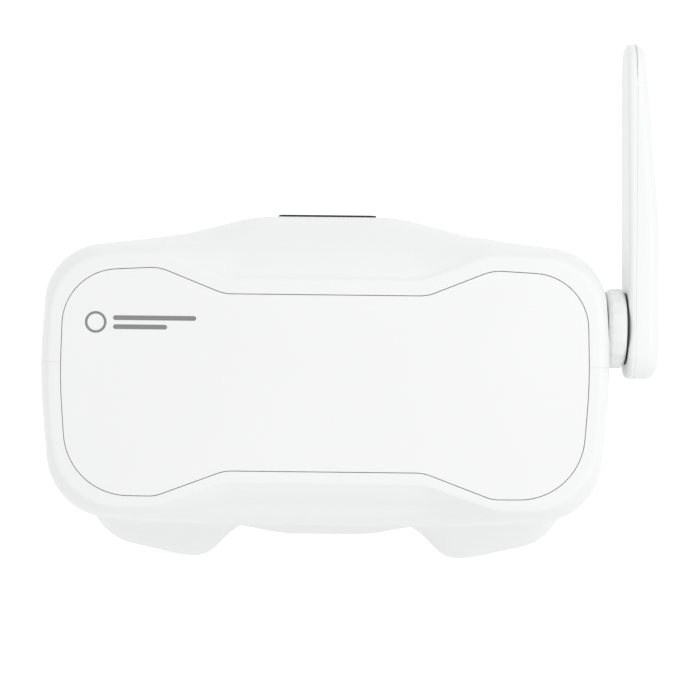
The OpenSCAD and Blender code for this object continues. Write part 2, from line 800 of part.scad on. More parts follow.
// Snap ring in the bushing's groove, which holds the antenna on
module antenna_clip() {
    color("silver") difference() {
        bar_x(6.4, clip_x + 0.05, clip_x + 0.65);
        bar_x(4.25, 80, 95);
        box([80, pivot_y - 2, pivot_z - 8], [95, pivot_y + 2, pivot_z]);
    }
}

COAX = [[44.2, 15.2, 19], [52, 15.2, 18.4], [58, 16.6, 17.4], [63, 19.6, 16.4], [68, 22.8, 16],
    [73, pivot_y, pivot_z], [80, pivot_y, pivot_z], [bushing_end - 0.2, pivot_y, pivot_z]];

module coax_cable() {
    color(black) wire(COAX, 0.6);
}

// Ribbed collar between the housing and the paddle
module antenna_collar() {
    ribs = 18;
    color(white) difference() {
        union() {
            bar_x(collar_r, collar_x + 1, collar_end - 1.1);
            translate([0, pivot_y, pivot_z]) rotate([0, 90, 0]) {
                translate([0, 0, collar_x]) cylinder(r1 = collar_r - 1, r2 = collar_r, h = 1);
                translate([0, 0, collar_end - 1.1]) cylinder(r1 = collar_r, r2 = collar_r - 1.1, h = 1.1);
            }
        }
        bar_x(bushing_r + pivot_play, 70, 90);
        for (i = [0:ribs - 1]) translate([70, pivot_y, pivot_z]) rotate([360 / ribs * i, 0, 0])
            translate([0, 0, collar_r + 1.3]) rotate([0, 90, 0]) cylinder(r = 1.7, h = 20);
    }
}

module antenna_washer() {
    color(black) difference() {
        bar_x(collar_r - 1.4, collar_end, paddle_x);
        bar_x(bushing_r + pivot_play, 70, 90);
    }
}

// One rounded post of the paddle: radius r about (y, z), from x0 to x1, with eased ends
module paddle_post(y, z, r, x0, x1, ease_in, ease_out) {
    translate([0, y, z]) rotate([0, 90, 0]) {
        translate([0, 0, x0]) cylinder(r = r - ease_in, h = x1 - x0, $fn = 32);
        translate([0, 0, x0 + ease_in]) cylinder(r = r, h = x1 - x0 - ease_in - ease_out, $fn = 32);
    }
}

// The paddle's outer form, or its hollow when d is the wall
module paddle(d) {
    base_z = pivot_z - paddle_drop + base_corner_r;
    hull() {
        for (s = [-1, 1])
            paddle_post(pivot_y + s * (paddle_w / 2 - base_corner_r), base_z, base_corner_r - d,
                paddle_x + d, paddle_end - d, 1.5, 3);
        paddle_post(pivot_y, bend_z, paddle_w / 2 - 0.6 - d,
            paddle_x - 0.35 + d, paddle_end - 0.4 - d, 1.5, 3);
        paddle_post(pivot_y, tip_z - tip_r, tip_r - d, paddle_x - tip_lean + d, tip_end - d, 1.5, 2);
    }
}

module antenna_inner_shell() {
    color(white) difference() {
        paddle(0);
        paddle(1.2);
        box([parting_x - 0.03, -10, -20], [110, 60, 120]);
        bar_x(bushing_r + 0.1, 80, parting_x);
        bar_x(collar_r - 1.3, 80, paddle_x + 0.02);
    }
}

module antenna_outer_shell() {
    color(white) difference() {
        paddle(0);
        paddle(1.2);
        box([80, -10, -20], [parting_x + 0.03, 60, 120]);
    }
}

module antenna_radiator() {
    board_x = paddle_x + 2.7;
    color([0.7, 0.5, 0.2]) union() {
        box([board_x, pivot_y - 5, 26], [board_x + 0.8, pivot_y + 5, 85]);
        box([board_x + 0.8, pivot_y - 4, 54], [board_x + 1, pivot_y + 4, 82]);
    }
}

front_panel();
upper_housing();
lower_housing();
face_frame();
foam_fastener();
face_foam();
lens_plate();
lens();
lens_retainer();
lens_screws();
optic_shroud();
display_bracket();
display_panel();
backlight();
display_ribbon();
main_board();
receiver_module();
video_chips();
beeper();
board_screws();
battery_pack();
battery_tray();
battery_pad();
battery_plug();
battery_lead();
button_board();
button_switches();
button_ribbon();
control_strip();
power_button();
menu_button();
channel_up_button();
channel_down_button();
record_button();
port_board();
card_slot();
memory_card();
av_jack();
charge_port();
status_light();
frame_screws();
seam_screws();
strap_loop_left();
strap_loop_right();
strap_loop_top();
antenna_bushing();
antenna_clip();
coax_cable();
antenna_collar();
antenna_washer();
antenna_inner_shell();
antenna_outer_shell();
antenna_radiator();
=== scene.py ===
"""Box-type FPV goggles with a waisted front panel, a frame that follows the face and a paddle antenna.

Everything is in the CAD's frame: the origin is the middle of the front panel's outer face, +Z is up,
+Y runs towards the face and +X is the antenna's side. Shapes are written in millimetres and scaled
by MM as they are made.
"""

import math  # noqa: E402

import bmesh  # noqa: E402
import bpy  # noqa: E402
import numpy as np  # noqa: E402
from mathutils import Matrix, Vector  # noqa: E402


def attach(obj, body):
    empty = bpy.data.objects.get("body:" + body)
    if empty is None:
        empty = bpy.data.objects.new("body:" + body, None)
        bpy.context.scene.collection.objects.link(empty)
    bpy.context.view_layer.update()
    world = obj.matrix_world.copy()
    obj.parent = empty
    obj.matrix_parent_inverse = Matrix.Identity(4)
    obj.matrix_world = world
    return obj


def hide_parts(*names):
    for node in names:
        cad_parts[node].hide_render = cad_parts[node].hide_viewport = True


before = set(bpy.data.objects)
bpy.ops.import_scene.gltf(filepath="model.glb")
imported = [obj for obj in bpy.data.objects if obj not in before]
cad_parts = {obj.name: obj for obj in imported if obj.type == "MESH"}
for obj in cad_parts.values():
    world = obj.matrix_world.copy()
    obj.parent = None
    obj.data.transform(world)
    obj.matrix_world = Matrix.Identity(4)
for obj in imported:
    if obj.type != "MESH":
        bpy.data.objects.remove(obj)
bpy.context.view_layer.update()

MM = 0.001
BODY_NAME = "goggles"
ANTENNA = "antenna"

# ---------------------------------------------------------------- sizes, in millimetres

# An outline is nine rows of (x, z, corner radius) for the half with x > 0: the top middle, the
# waist's end, the bump, the upper corner, the side, the lower corner, the lower bump, the lower
# waist's end and the bottom middle.
PANEL = [(0, 24.6, 0), (28.2, 24.6, 12), (46.3, 31.8, 12), (72.5, 30.4, 15.5), (73.3, 0.5, 150),
         (70.9, -31.3, 18), (46.8, -31.5, 10), (27.6, -24.3, 12), (0, -24.3, 0)]
BEZEL = [(0, 29.9, 0), (26.9, 29.9, 14), (45, 36.9, 12), (76.2, 35.6, 17.5), (78, 1, 150),
         (74.7, -35.1, 19), (47.5, -35.3, 10), (27.8, -28.5, 14), (0, -28.5, 0)]
SHOULDER = [(0, 39.6, 0), (22.5, 39.6, 25), (44, 39.8, 25), (77.9, 37.1, 16.5), (80.3, 3, 150),
            (76.6, -36.9, 18), (49, -38.2, 25), (29, -34, 25), (0, -33.8, 0)]
BODY = [(0, 47.5, 0), (20, 47.5, 45), (42, 42, 60), (78.5, 37.6, 16.5), (80.7, 3, 150),
        (77.4, -38.2, 18), (50, -40.2, 80), (30, -41, 80), (0, -41, 0)]
FRAME_MID = [(0, 46, 0), (28, 46, 60), (50, 43.4, 40), (76.5, 36, 24), (78.6, 3, 150),
             (74.5, -40.8, 18), (31, -42.6, 30), (12.5, -46.3, 40), (0, -46.3, 0)]
FRAME_REAR = [(0, 43.2, 0), (28, 43.4, 60), (50, 41.6, 40), (74.5, 33, 26), (77, 2, 100),
              (74.5, -50, 17), (38.5, -56.9, 11), (10.5, -27.5, 10), (0, -27.5, 0)]
EYE = [(0, 33, 0), (28, 33.4, 50), (47, 32, 30), (65, 23, 18), (66.5, 0, 70),
       (61, -36, 9), (40, -42, 5), (11, -16, 8), (0, -16, 0)]

# Steps along each of the seven corner arcs, and points on each of the eight straights
ARC_STEPS = [10, 10, 18, 8, 18, 10, 10]
STRAIGHT_POINTS = [8, 3, 7, 8, 8, 7, 3, 8]

# Housing: wall thickness, the gap round the panel, the panel's thickness, the rounding of the
# edges beside the gap, and the depths where the housing reaches its full outline and where it ends
WALL = 2.2
PANEL_GAP = 0.18
PANEL_T = 2.2
PANEL_EDGE = 0.15
FULL_Y = 20
HOUSING_Y = 42
# Height of the seam between the two halves, and half its width
SEAM_Z = 5.4
SEAM_GAP = 0.01

# Face frame: the depths of its middle, of its last flat ring and of its rear edge at the brow, how
# much farther back the temples are, and how far the flat rings get towards the rear outline
MID_Y = 54
FLAT_Y = 66
BROW_Y = 78
TEMPLE_WRAP = 12
TEMPLE_X = 77
FLAT_MIX = 0.3
# The flange that carries the foam, the lip inside the housing and the foam's thickness
FLANGE_T = 2.2
LIP_Y = 39.5
LIP_T = 1.6
LIP_INSET = 3
FOAM_T = 14

# Posts for the main board behind the panel, and screws of the face frame above and below
BOARD_POST = (50, 24)
FRAME_SCREW_X = 50
FRAME_SCREW_Z = (37.4, -36.6)

# Antenna: its pivot, collar, bushing and the seat in the housing
PIVOT_Y = 24
PIVOT_Z = 16.5
COLLAR_R = 11.7
COLLAR_X = 80.3
COLLAR_END = 85.45
COLLAR_RIBS = 18
BUSHING_R = 5
SEAT_X = 80
# Paddle: its faces and parting plane in X, then its side outline
PADDLE_X = 86.05
PARTING_X = 88
PADDLE_END = 94.8
PADDLE_WALL = 1.2
PARTING_GAP = 0.01
PARTING_EDGE = 0.05
PADDLE_W = 20
PADDLE_DROP = 14.5
BASE_CORNER_R = 8
BEND_Z = 48
TIP_Z = 98.5
TIP_END = 91
TIP_LEAN = 0.9
TIP_R = 8

# Control strip on the crown, and its row of buttons
STRIP_W = 28.2
STRIP_Y = (23, 36)
CROWN_Z = BODY[0][1]
STRIP_TOP = CROWN_Z + 0.8
STRIP_FLOOR = CROWN_Z - 0.8
BUTTON_Y = sum(STRIP_Y) / 2
BUTTON_PITCH = 5.2
BUTTON_SIZE = (4, 7.6)
BUTTON_CORNER = 1.2
BUTTON_PLAY = 0.15
BUTTON_TOP = STRIP_TOP + 0.15
BUTTONS = ["power_button", "menu_button", "channel_up_button", "channel_down_button", "record_button"]

# The (y, z) middles of the openings in the right wall, and the X span of their cutters
JACK = (29.9, -17)
USB = (28.4, -5)
CARD = (28, 14)
LIGHT = (28, 22.6)
RIGHT_WALL = (-84, -76)

# The printed mark: the ring's middle as (x, z) and its radii, then height and length of each bar
MARK_CENTRE = (-63.6, 16.5)
MARK_RING = (2.3, 3.0)
MARK_BARS = ((1.25, 23), (-1.25, 15))
MARK_Y = (-0.03, 0.02)

# Face cushion: (inset, height above the flange) up its outer side and down its inner side, and
# (share of the way across, drop from the top) over its crest
CUSHION_OUTSIDE = ((2.5, 1.1), (1.7, 1.9), (1.2, 3.6), (1.0, 6.0), (1.25, 8.2), (1.9, 10.6), (3.1, 12.5))
CUSHION_CREST = ((0.36, 0.3), (0.5, 0), (0.64, 0.3))
CUSHION_INSIDE = ((2.0, 12.5), (0.9, 10.6), (0.3, 8.2), (0.1, 5.5), (0.2, 3.0), (0.7, 1.1))

# ---------------------------------------------------------------- outlines


def unit(v):
    """The vector scaled to a length of 1."""
    return v / np.linalg.norm(v)


def mix(a, b, t):
    """From a (t = 0) to b (t = 1)."""
    return a + (b - a) * t


def mix_rows(a, b, t):
    """An outline's rows between two others."""
    return mix(np.array(a, float), np.array(b, float), t)


def smooth(t):
    """A share from 0 to 1 that starts and ends gently."""
    return t * t * (3 - 2 * t)


def corner(a, b, c, radius, steps):
    """Points of the arc that rounds corner b, from the side of a to the side of c."""
    u, w = unit(a - b), unit(c - b)
    half = math.acos(u @ w) / 2
    centre = b + unit(u + w) * radius / math.sin(half)
    first = b + u * radius / math.tan(half) - centre
    last = b + w * radius / math.tan(half) - centre
    start = math.atan2(first[1], first[0])
    turn = math.atan2(first[0] * last[1] - first[1] * last[0], first @ last)
    angle = start + turn * np.linspace(0, 1, steps + 1)
    return centre + radius * np.stack([np.cos(angle), np.sin(angle)], 1)


def outline(rows):
    """The whole outline as (x, z) points, clockwise from the top middle as seen from the front."""
    rows = np.array(rows, float)
    p = rows[:, :2]
    arcs = [corner(p[k - 1], p[k], p[k + 1], rows[k, 2], ARC_STEPS[k - 1]) for k in range(1, 8)]
    starts = [p[0]] + [arc[-1] for arc in arcs]
    ends = [arc[0] for arc in arcs] + [p[8]]
    half = [p[:1]]
    for k in range(8):
        t = np.arange(1, STRAIGHT_POINTS[k] + 1)[:, None] / (STRAIGHT_POINTS[k] + 1)
        half.append(mix(starts[k], ends[k], t))
        half.append(arcs[k] if k < 7 else p[8:])
    half = np.concatenate(half)
    return np.concatenate([half, half[-2:0:-1] * [-1, 1]])


def inset(ring, d):
    """The same outline moved inwards by d."""
    t = np.roll(ring, -1, 0) - np.roll(ring, 1, 0)
    normal = np.stack([t[:, 1], -t[:, 0]], 1)
    return ring + d * normal / np.linalg.norm(normal, axis=1)[:, None]


def at(y, ring):
    """An outline as 3-D points at depth y, which is a number or one number a point."""
    return np.stack([ring[:, 0], np.broadcast_to(y, len(ring)), ring[:, 1]], 1)


def skin(rings, steps=5):
    """Rings of a smooth skin through the given ones, each stretch in the given number of steps."""
    r = np.stack([2 * rings[0] - rings[1], *rings, 2 * rings[-1] - rings[-2]])
    gap = np.sqrt(np.linalg.norm(np.diff(r, axis=0), axis=2).mean(1)) + 1e-9
    slope = np.diff(r, axis=0) / gap[:, None, None]
    tangent = [(slope[k] * gap[k + 1] + slope[k + 1] * gap[k]) / (gap[k] + gap[k + 1])
               for k in range(len(rings))]
    out = []
    for k in range(len(rings) - 1):
        for t in np.arange(steps) / steps:
            h = gap[k + 1]
            out.append((2 * t**3 - 3 * t**2 + 1) * rings[k] + (t**3 - 2 * t**2 + t) * h * tangent[k]
                       + (3 * t**2 - 2 * t**3) * rings[k + 1] + (t**3 - t**2) * h * tangent[k + 1])
    return [*out, rings[-1]]


# ---------------------------------------------------------------- mesh helpers


def piece(name, verts, faces):
    """A mesh object of closed, outward-facing skins, from points in millimetres."""
    mesh = bpy.data.meshes.new(name)
    mesh.from_pydata([tuple(v) for v in np.asarray(verts, float) * MM], [], [tuple(f) for f in faces])
    obj = bpy.data.objects.new(name, mesh)
    bpy.context.scene.collection.objects.link(obj)
    bm = bmesh.new()
    bm.from_mesh(mesh)
    bmesh.ops.remove_doubles(bm, verts=bm.verts, dist=1e-7)
    bmesh.ops.dissolve_degenerate(bm, edges=bm.edges, dist=1e-8)
    bmesh.ops.recalc_face_normals(bm, faces=bm.faces)
    bm.to_mesh(mesh)
    bm.free()
    return obj


def loft(name, rings, closed=True):
    """A skin through rings of equal length; closed joins the last ring to the first."""
    m, n = len(rings), len(rings[0])
    last = m if closed else m - 1
    i = np.arange(n)
    faces = []
    for j in range(last):
        a, d = j * n, (j + 1) % m * n
        faces += list(zip(a + i, d + i, d + (i + 1) % n, a + (i + 1) % n))
    return piece(name, np.concatenate(rings), [tuple(int(v) for v in f) for f in faces])


def capped(name, rings):
    """A skin through rings whose first and last rings are closed with flat faces."""
    m, n = len(rings), len(rings[0])
    faces = [tuple(range(n)), tuple(range((m - 1) * n, m * n))]
    for j in range(m - 1):
        for i in range(n):
            k = (i + 1) % n
            faces.append((j * n + i, (j + 1) * n + i, (j + 1) * n + k, j * n + k))
    return piece(name, np.concatenate(rings), faces)


def prism(name, points, axis, start, end):
    """A flat outline pushed along an axis; its two numbers lie on the other two axes, in order."""
    points = np.asarray(points, float)
    n = len(points)
    others = [k for k in range(3) if k != axis]
    verts = np.zeros((2 * n, 3))
    verts[:n, others] = points
    verts[n:, others] = points
    verts[:n, axis] = start
    verts[n:, axis] = end
    sides = [(i, (i + 1) % n, n + (i + 1) % n, n + i) for i in range(n)]
    return piece(name, verts, [tuple(range(n)), tuple(range(n, 2 * n)), *sides])


def circle(centre, radius, sides=48):
    """Points of a circle."""
    angle = np.arange(sides) * 2 * math.pi / sides
    return np.array(centre) + radius * np.stack([np.cos(angle), np.sin(angle)], 1)


def round_rect(centre, size, radius, steps=6):
    """Outline of a rectangle with round corners."""
    half = np.array(size) / 2
    box = [half * s for s in ((1, 1), (-1, 1), (-1, -1), (1, -1))]
    arcs = [corner(box[k - 1], box[k], box[(k + 1) % 4], radius, steps) for k in range(4)]
    return np.array(centre) + np.concatenate(arcs)


def bar(name, axis, centre, radius, start, end, sides=48):
    """A round bar along an axis."""
    return prism(name, circle(centre, radius, sides), axis, start, end)


def block(name, low, high):
    """A box between two corners."""
    base = [(low[0], low[1]), (high[0], low[1]), (high[0], high[1]), (low[0], high[1])]
    return prism(name, base, 2, low[2], high[2])


def apply_modifiers(obj):
    """Gives an object the mesh that its modifiers make, and clears them."""
    graph = bpy.context.evaluated_depsgraph_get()
    result = bpy.data.meshes.new_from_object(obj.evaluated_get(graph))
    old = obj.data
    obj.modifiers.clear()
    obj.data = result
    bpy.data.meshes.remove(old)


def combine(obj, tools, operation="DIFFERENCE"):
    """Cuts the tools out of obj, or joins them to it, and removes them."""
    for tool in tools:
        m = obj.modifiers.new(operation, "BOOLEAN")
        m.operation = operation
        m.object = tool
        m.solver = "MANIFOLD"
    apply_modifiers(obj)
    for tool in tools:
        data = tool.data
        bpy.data.objects.remove(tool)
        bpy.data.meshes.remove(data)


def copy_of(obj, name):
    """A second object with its own copy of the mesh."""
    twin = obj.copy()
    twin.data = obj.data.copy()
    twin.name = name
    bpy.context.scene.collection.objects.link(twin)
    return twin


def eased(obj, width=0.2, segments=2, angle=32):
    """Rounds an object's sharp edges by a modifier, so a CAD node's own mesh stays as it is."""
    m = obj.modifiers.new("ease", "BEVEL")
    m.width = width * MM
    m.segments = segments
    m.limit_method = "ANGLE"
    m.angle_limit = math.radians(angle)
    m.harden_normals = False
    return obj


def shaded(obj, angle=38):
    """Smooth shading with creases where faces meet at more than the angle."""
    mesh = obj.data
    mesh.polygons.foreach_set("use_smooth", [True] * len(mesh.polygons))
    mesh.set_sharp_from_angle(angle=math.radians(angle))
    m = obj.modifiers.new("normals", "WEIGHTED_NORMAL")
    m.keep_sharp = True
    return obj


def made(obj, body, slot, material, *nodes):
    """Gives a finished piece its material, hides the CAD nodes it stands for and joins it to its body. The
    slot argument is not used.
    """
    obj.data.materials.clear()
    obj.data.materials.append(material)
    if nodes:
        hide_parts(*nodes)
    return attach(obj, body)


# ---------------------------------------------------------------- materials


class Shader:
    """A material's node tree, with short calls for the nodes used here."""

    def __init__(self, name):
        self.material = bpy.data.materials.new(name)
        self.material.use_nodes = True
        self.tree = self.material.node_tree
        self.bsdf = self.tree.nodes["Principled BSDF"]
        self.coords = self.node("ShaderNodeTexCoord").outputs["Object"]

    def node(self, kind):
        """A new node of a kind."""
        return self.tree.nodes.new(kind)

    def link(self, a, b):
        """Joins an output to an input."""
        self.tree.links.new(a, b)

    def noise(self, scale, detail):
        """Soft noise over the object."""
        n = self.node("ShaderNodeTexNoise")
        n.inputs["Scale"].default_value = scale
        n.inputs["Detail"].default_value = detail
        self.link(self.coords, n.inputs["Vector"])
        return n.outputs["Fac"]

    def cells(self, scale):
        """Distance to the nearest of scattered points: round bumps."""
        n = self.node("ShaderNodeTexVoronoi")
        n.inputs["Scale"].default_value = scale
        self.link(self.coords, n.inputs["Vector"])
        return n.outputs["Distance"]

    def waves(self, direction, scale):
        """Bands across one direction, such as the yarns of a cloth."""
        n = self.node("ShaderNodeTexWave")
        n.wave_type = "BANDS"
        n.bands_direction = direction
        n.inputs["Scale"].default_value = scale
        n.inputs["Distortion"].default_value = 0.8
        n.inputs["Detail"].default_value = 1.0
        self.link(self.coords, n.inputs["Vector"])
        return n.outputs["Fac"]

    def calc(self, operation, a, b):
        """One sum on two values."""
        n = self.node("ShaderNodeMath")
        n.operation = operation
        self.link(a, n.inputs[0])
        self.link(b, n.inputs[1])
        return n.outputs[0]

    def ramp(self, value, low, high, start=0.3, end=0.7):
        """A colour from low to high as the value goes from start to end."""
        n = self.node("ShaderNodeValToRGB")
        n.color_ramp.elements[0].position = start
        n.color_ramp.elements[1].position = end
        n.color_ramp.elements[0].color = (*low, 1)
        n.color_ramp.elements[1].color = (*high, 1)
        self.link(value, n.inputs["Fac"])
        return n.outputs["Color"]

    def span(self, value, low, high):
        """The value, 0 to 1, spread from low to high."""
        n = self.node("ShaderNodeMapRange")
        n.inputs["To Min"].default_value = low
        n.inputs["To Max"].default_value = high
        self.link(value, n.inputs["Value"])
        return n.outputs["Result"]

    def bump(self, value, strength, distance):
        """Relief from the value, at most the distance high."""
        n = self.node("ShaderNodeBump")
        n.inputs["Strength"].default_value = strength
        n.inputs["Distance"].default_value = distance
        self.link(value, n.inputs["Height"])
        self.link(n.outputs["Normal"], self.bsdf.inputs["Normal"])

    def set(self, **values):
        """Constants on the shader's own sockets."""
        for key, value in values.items():
            self.bsdf.inputs[key.replace("_", " ")].default_value = value


def plastic(name, colour, roughness, grain=4200, depth=0.006, spread=0.012):
    """Moulded plastic: fine spark-eroded grain, faint colour drift and uneven gloss."""
    s = Shader(name)
    dark = tuple(max(c - spread, 0) for c in colour)
    s.link(s.ramp(s.noise(28, 2), dark, colour), s.bsdf.inputs["Base Color"])
    s.link(s.span(s.noise(90, 4), roughness - 0.05, roughness + 0.06), s.bsdf.inputs["Roughness"])
    s.bump(s.noise(grain, 2), 0.35, depth * MM)
    s.set(Specular_IOR_Level=0.5)
    return s.material


def metal(name, colour, roughness, grain=900):
    """Plated or machined metal with fine scratches in its gloss."""
    s = Shader(name)
    s.set(Metallic=1.0)
    dark = tuple(c * 0.86 for c in colour)
    s.link(s.ramp(s.noise(160, 5), dark, colour), s.bsdf.inputs["Base Color"])
    s.link(s.span(s.noise(grain, 6), roughness - 0.08, roughness + 0.14), s.bsdf.inputs["Roughness"])
    s.bump(s.noise(grain * 2, 3), 0.2, 0.01 * MM)
    return s.material


def rubber(name, colour, roughness=0.7, grain=2600, depth=0.03):
    """Moulded rubber or cable jacket: matt, with a soft grain and a trace of dust."""
    s = Shader(name)
    dusty = tuple(c + 0.018 for c in colour)
    s.link(s.ramp(s.noise(60, 5), colour, dusty), s.bsdf.inputs["Base Color"])
    s.link(s.span(s.noise(300, 3), roughness - 0.08, roughness + 0.08), s.bsdf.inputs["Roughness"])
    s.bump(s.cells(grain), 0.3, depth * MM)
    s.set(Specular_IOR_Level=0.35)
    return s.material


def fabric(name, colour, weave, depth):
    """Knitted or woven cloth: crossed yarns, fuzz and a soft sheen."""
    s = Shader(name)
    across, along, deep = [s.waves(direction, weave / 6) for direction in ("X", "Y", "Z")]
    yarn = s.calc("MULTIPLY", s.calc("MAXIMUM", across, deep), along)
    light = tuple(min(c * 1.7 + 0.01, 1) for c in colour)
    s.link(s.ramp(yarn, colour, light, 0.1, 0.9), s.bsdf.inputs["Base Color"])
    s.link(s.span(s.noise(400, 3), 0.82, 0.97), s.bsdf.inputs["Roughness"])
    s.bump(yarn, 0.6, depth * MM)
    s.set(Sheen_Weight=0.35, Sheen_Roughness=0.5, Specular_IOR_Level=0.25)
    return s.material


def soft_leather(name, colour):
    """Soft-touch cover over foam: a pebbled grain with finer pores between the pebbles."""
    s = Shader(name)
    light = tuple(c * 1.35 + 0.006 for c in colour)
    pebbles = s.cells(900)
    s.link(s.ramp(pebbles, light, colour, 0.15, 0.75), s.bsdf.inputs["Base Color"])
    s.link(s.span(s.noise(220, 4), 0.5, 0.68), s.bsdf.inputs["Roughness"])
    s.bump(s.calc("ADD", pebbles, s.span(s.noise(5200, 2), 0, 0.35)), 0.55, 0.09 * MM)
    s.set(Specular_IOR_Level=0.4, Sheen_Weight=0.1)
    return s.material


def board(name, colour):
    """Circuit board: solder mask over faint copper tracks."""
    s = Shader(name)
    brick = s.node("ShaderNodeTexBrick")
    brick.inputs["Scale"].default_value = 260
    brick.inputs["Mortar Size"].default_value = 0.06
    brick.inputs["Color1"].default_value = (*colour, 1)
    brick.inputs["Color2"].default_value = (*[c * 0.8 for c in colour], 1)
    brick.inputs["Mortar"].default_value = (*[min(c * 1.9 + 0.02, 1) for c in colour], 1)
    upright = s.node("ShaderNodeMapping")
    upright.inputs["Rotation"].default_value = (math.radians(90), 0, 0)
    s.link(s.coords, upright.inputs["Vector"])
    s.link(upright.outputs["Vector"], brick.inputs["Vector"])
    s.link(brick.outputs["Color"], s.bsdf.inputs["Base Color"])
    s.link(s.span(s.noise(500, 2), 0.25, 0.42), s.bsdf.inputs["Roughness"])
    s.bump(brick.outputs["Fac"], 0.3, 0.02 * MM)
    return s.material


def glass(name, colour=(0.97, 0.99, 1.0), roughness=0.02, ior=1.5):
    """Clear moulded acrylic or glass, with a trace of unevenness in the gloss."""
    s = Shader(name)
    tinted = tuple(c * 0.98 for c in colour)
    s.link(s.ramp(s.noise(30, 1), tinted, colour), s.bsdf.inputs["Base Color"])
    s.link(s.span(s.noise(120, 3), roughness, roughness + 0.03), s.bsdf.inputs["Roughness"])
    s.set(Transmission_Weight=1.0, IOR=ior)
    return s.material


def display(name):
    """A switched-off display behind cover glass: near black with a fine pixel grid."""
    s = Shader(name)
    grid = s.node("ShaderNodeTexChecker")
    grid.inputs["Scale"].default_value = 5000
    s.link(s.coords, grid.inputs["Vector"])
    dots = s.ramp(grid.outputs["Fac"], (0.008, 0.01, 0.016), (0.014, 0.018, 0.026), 0, 1)
    s.link(dots, s.bsdf.inputs["Base Color"])
    s.link(s.span(s.noise(40, 2), 0.05, 0.1), s.bsdf.inputs["Roughness"])
    s.set(Coat_Weight=0.8, Coat_Roughness=0.03)
    return s.material


WHITE = plastic("White_shell", (0.884, 0.886, 0.886), 0.46, grain=3600, depth=0.012)
PANEL_WHITE = plastic("White_panel", (0.886, 0.887, 0.886), 0.5, grain=4600, depth=0.008, spread=0.008)
# Painted shade: the collar's white is darker than the other whites, standing in for the shade where the
# collar sits between the housing and the paddle
COLLAR_WHITE_SHADED = plastic("White_collar_shaded", (0.84, 0.842, 0.84), 0.4)
ANTENNA_WHITE = plastic("White_antenna", (0.88, 0.883, 0.885), 0.38, grain=5000, depth=0.006)
BLACK_PLASTIC = plastic("Black_plastic", (0.022, 0.022, 0.024), 0.48, grain=2800, depth=0.02, spread=0.006)
STRIP_BLACK = plastic("Black_strip", (0.014, 0.014, 0.016), 0.3, grain=5200, depth=0.005, spread=0.004)
BUTTON_BLACK = plastic("Black_button", (0.035, 0.035, 0.038), 0.55, grain=3400, depth=0.02, spread=0.008)
BUTTON_RED = plastic("Red_button", (0.42, 0.03, 0.025), 0.5, grain=3400, depth=0.02, spread=0.02)
CHIP = plastic("Chip_epoxy", (0.03, 0.03, 0.032), 0.62, grain=6500, depth=0.02, spread=0.01)
JACK_BLACK = plastic("Jack_black", (0.018, 0.018, 0.02), 0.36, grain=4000, depth=0.008, spread=0.004)
INK = plastic("Grey_ink", (0.24, 0.24, 0.245), 0.55, grain=5000, depth=0.004, spread=0.01)
STEEL = metal("Screw_steel", (0.62, 0.62, 0.63), 0.28)
SHEET_METAL = metal("Sheet_metal", (0.66, 0.67, 0.68), 0.35, 700)
BRASS = metal("Pivot_brass", (0.72, 0.55, 0.28), 0.3)
FOIL = metal("Battery_foil", (0.55, 0.56, 0.58), 0.42, 300)
# Black rubber for the antenna washer, a real part; its black is also painted shade, standing in for the dark
# gap between the collar and the paddle
WASHER_BLACK_AND_GAP_SHADE = rubber("Black_rubber_and_gap_shade", (0.016, 0.016, 0.017))
CABLE_BLACK = rubber("Cable_black", (0.02, 0.02, 0.021), 0.55, 4200, 0.01)
CABLE_RED = rubber("Cable_red", (0.4, 0.02, 0.02), 0.5, 4200, 0.01)
FOAM_PAD = rubber("Foam_pad", (0.06, 0.06, 0.064), 0.92, 1400, 0.12)
FOAM_COVER = soft_leather("Face_foam_cover", (0.03, 0.03, 0.033))
FASTENER = fabric("Hook_and_loop", (0.018, 0.018, 0.02), 2600, 0.2)
FLEX = plastic("Flex_cable", (0.5, 0.26, 0.06), 0.35, grain=2600, depth=0.01, spread=0.04)
BOARD_GREEN = board("Circuit_board", (0.012, 0.085, 0.045))
BOARD_WHITE = board("Antenna_board", (0.45, 0.42, 0.34))
LENS_GLASS = glass("Lens_glass")
LIGHT_CLEAR = glass("Light_clear", (0.93, 0.96, 1.0), 0.2, 1.46)
DISPLAY = display("Display_glass")

# What each CAD node that is shown as it stands is made of
CAD_MATERIALS = {
    "foam_fastener": FASTENER, "lens_plate": BLACK_PLASTIC, "lens": LENS_GLASS,
    "lens_retainer": BLACK_PLASTIC, "lens_screws": STEEL, "optic_shroud": BLACK_PLASTIC,
    "display_bracket": BLACK_PLASTIC, "display_panel": DISPLAY, "backlight": SHEET_METAL,
    "display_ribbon": FLEX, "main_board": BOARD_GREEN, "receiver_module": SHEET_METAL,
    "video_chips": CHIP, "beeper": CHIP, "board_screws": STEEL, "battery_pack": FOIL,
    "battery_tray": BLACK_PLASTIC, "battery_pad": FOAM_PAD, "battery_plug": WHITE,
    "battery_lead": CABLE_RED, "button_board": BOARD_GREEN, "button_switches": SHEET_METAL,
    "button_ribbon": FLEX, "port_board": BOARD_GREEN, "card_slot": SHEET_METAL,
    "memory_card": BLACK_PLASTIC, "av_jack": JACK_BLACK, "charge_port": SHEET_METAL,
    "status_light": LIGHT_CLEAR, "frame_screws": STEEL, "seam_screws": STEEL,
    "strap_loop_left": BLACK_PLASTIC, "strap_loop_right": BLACK_PLASTIC,
    "strap_loop_top": BLACK_PLASTIC, "antenna_bushing": BRASS, "antenna_clip": STEEL,
    # The antenna washer's black also serves as painted shade for the gap beside the collar
    "coax_cable": CABLE_BLACK, "antenna_washer": WASHER_BLACK_AND_GAP_SHADE, "antenna_radiator": BOARD_WHITE,
}
